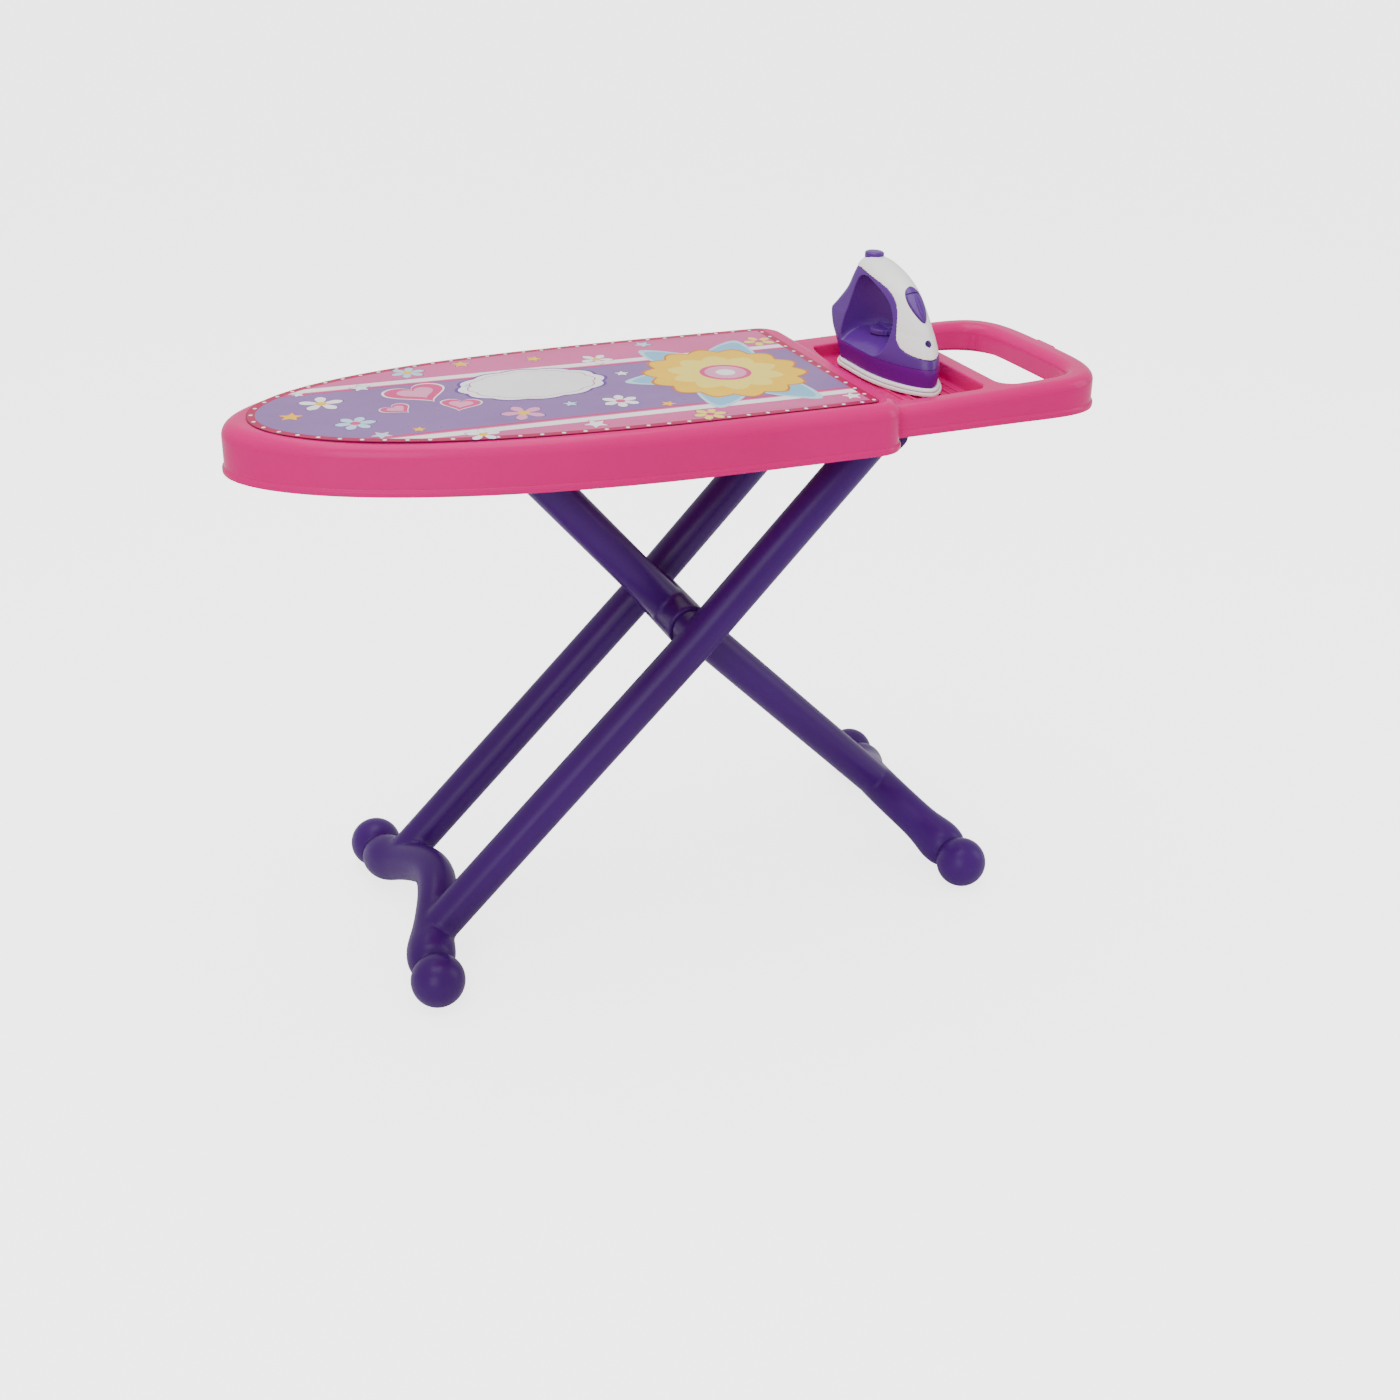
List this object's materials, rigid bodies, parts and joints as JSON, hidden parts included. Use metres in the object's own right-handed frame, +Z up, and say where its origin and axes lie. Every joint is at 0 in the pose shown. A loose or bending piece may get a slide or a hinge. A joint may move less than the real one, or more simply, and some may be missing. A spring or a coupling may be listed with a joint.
{
  "type": "toy ironing board",
  "caption": "Child's folding ironing board on crossed tube legs with ball feet, with a tray, a hand hole and a toy iron lying in the tray.",
  "frame": {"origin": "on the floor, under the middle of the overall length, on the board's middle plane", "axes": "+X along the board from the nose to the handle, +Y across to the side away from the viewer, +Z up"},
  "size_m": [0.71, 0.2684, 0.5455],
  "materials": {
    "pink_plastic": "gloss",
    "printed_sheet": "printed, satin",
    "purple_plastic": "satin",
    "lilac_plastic": "gloss",
    "magenta_plastic": "gloss",
    "white_plastic": "gloss",
    "grey_plastic": "satin",
    "steel": "zinc plated"
  },
  "bodies": {
    "board": {"board_shell": "pink_plastic", "board_label": "printed_sheet", "hinge_clip_front": "pink_plastic", "hinge_clip_back": "pink_plastic", "hinge_clip_screw_1": "steel", "hinge_clip_screw_2": "steel", "hinge_clip_screw_3": "steel", "hinge_clip_screw_4": "steel", "leg_track_front": "pink_plastic", "leg_track_back": "pink_plastic", "leg_track_screw_1": "steel", "leg_track_screw_2": "steel", "leg_track_screw_3": "steel", "leg_track_screw_4": "steel"},
    "outer_frame": {"outer_leg_frame": "purple_plastic", "outer_top_bar": "purple_plastic", "pivot_rod": "steel", "pivot_washer_front": "white_plastic", "pivot_washer_back": "white_plastic", "ball_foot_outer_front": "purple_plastic", "ball_foot_outer_back": "purple_plastic"},
    "inner_frame": {"inner_leg": "purple_plastic", "inner_top_bar": "purple_plastic", "track_slider_front": "white_plastic", "track_slider_back": "white_plastic", "ball_foot_inner_front": "purple_plastic", "ball_foot_inner_back": "purple_plastic"},
    "iron": {"iron_sole_plate": "white_plastic", "iron_sole_trim": "grey_plastic", "iron_skirt": "magenta_plastic", "iron_base_screw_1": "steel", "iron_base_screw_2": "steel", "iron_base_screw_3": "steel", "iron_base_screw_4": "steel", "iron_body_left": "lilac_plastic", "iron_body_right": "lilac_plastic", "iron_handle_cover": "white_plastic", "iron_nose_lamp": "purple_plastic"},
    "spray_button": {"iron_spray_button": "lilac_plastic"},
    "steam_button": {"iron_steam_button": "lilac_plastic"},
    "dial": {"iron_dial": "lilac_plastic"}
  },
  "joints": [
    {"name": "leg_fold", "type": "hinge", "parent": "board", "child": "outer_frame", "pos_m": [0.1584, 0, 0.43], "axis": [0, 1, 0], "range_deg": [0, 38]},
    {"name": "leg_crossing", "type": "hinge", "parent": "outer_frame", "child": "inner_frame", "pos_m": [0.0017, 0, 0.2663], "axis": [0, 1, 0], "range_deg": [-75.6, 0]},
    {"name": "iron_lift", "type": "slide", "parent": "board", "child": "iron", "axis": [0, 0, 1], "range_m": [0, 0.12]},
    {"name": "spray_press", "type": "slide", "parent": "iron", "child": "spray_button", "axis": [0, 0, -1], "range_m": [0, 0.002], "stiffness_N_per_m": 400, "springref_m": -0.001},
    {"name": "steam_press", "type": "slide", "parent": "iron", "child": "steam_button", "axis": [0, 0.6428, -0.766], "range_m": [0, 0.0015], "stiffness_N_per_m": 400, "springref_m": -0.001},
    {"name": "dial_turn", "type": "hinge", "parent": "iron", "child": "dial", "pos_m": [0.2015, 0.023, 0.483], "axis": [0, 0, 1], "range_deg": [-120, 120]}
  ],
  "couplings": [
    {"joint": "leg_crossing", "follows": "leg_fold", "ratio": -1.988}
  ]
}
